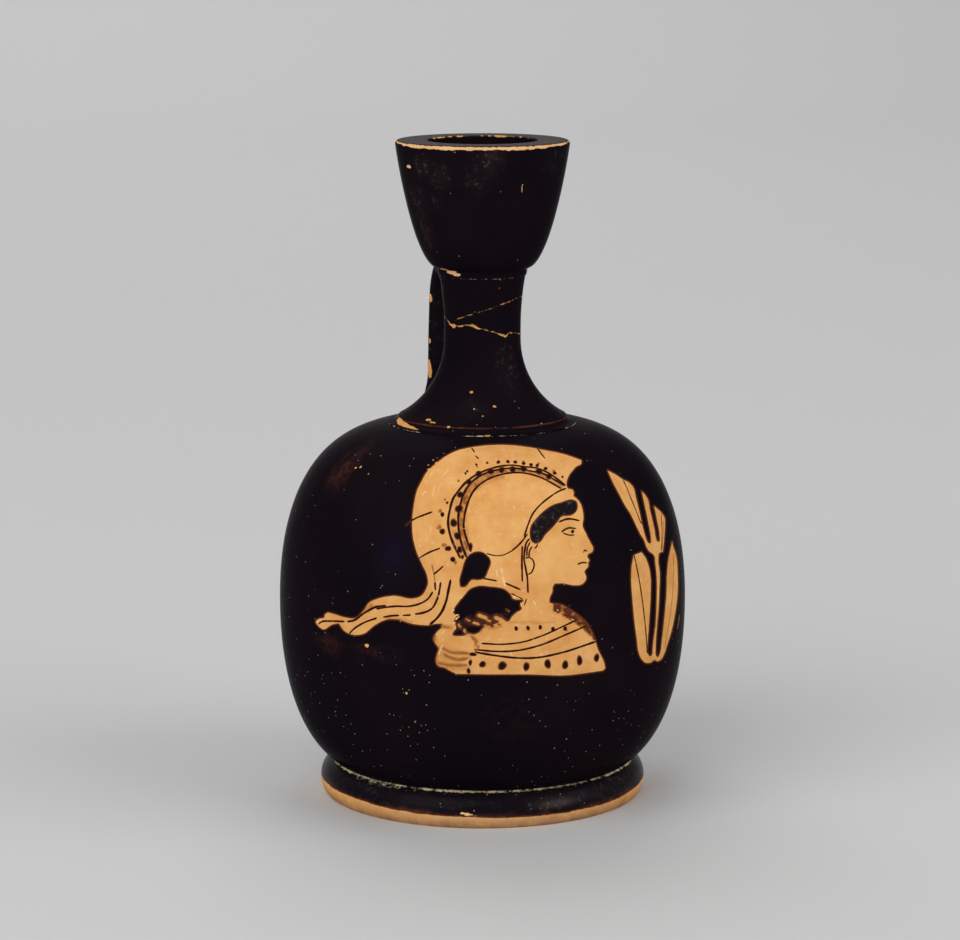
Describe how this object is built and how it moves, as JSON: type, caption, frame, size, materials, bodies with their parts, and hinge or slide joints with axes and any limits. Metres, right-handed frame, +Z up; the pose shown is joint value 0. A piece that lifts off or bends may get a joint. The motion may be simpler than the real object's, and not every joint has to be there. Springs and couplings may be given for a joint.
{
  "type": "squat lekythos",
  "caption": "Squat one-handled oil flask of fired clay: cup mouth, narrow mended neck, ovoid body and disc foot, in black gloss with a helmeted head left in the clay.",
  "frame": {"origin": "middle of the resting ring under the foot, on the surface it stands on", "axes": "+Z up along the axis of the wheel-thrown pot; +Y towards the handle, -Y towards the painted side; +X to the right of someone facing the painted side"},
  "size_m": [0.0932, 0.0932, 0.15],
  "materials": {
    "black_gloss": "semi-gloss black slip, sintered on fired clay, worn",
    "bare_clay": "burnished orange clay left bare, matt"
  },
  "bodies": {
    "root": {"foot": "black_gloss", "body": "black_gloss", "neck_lower": "black_gloss", "neck_sherd": "black_gloss", "neck_upper": "black_gloss", "mouth": "black_gloss", "handle": "black_gloss"}
  },
  "joints": []
}
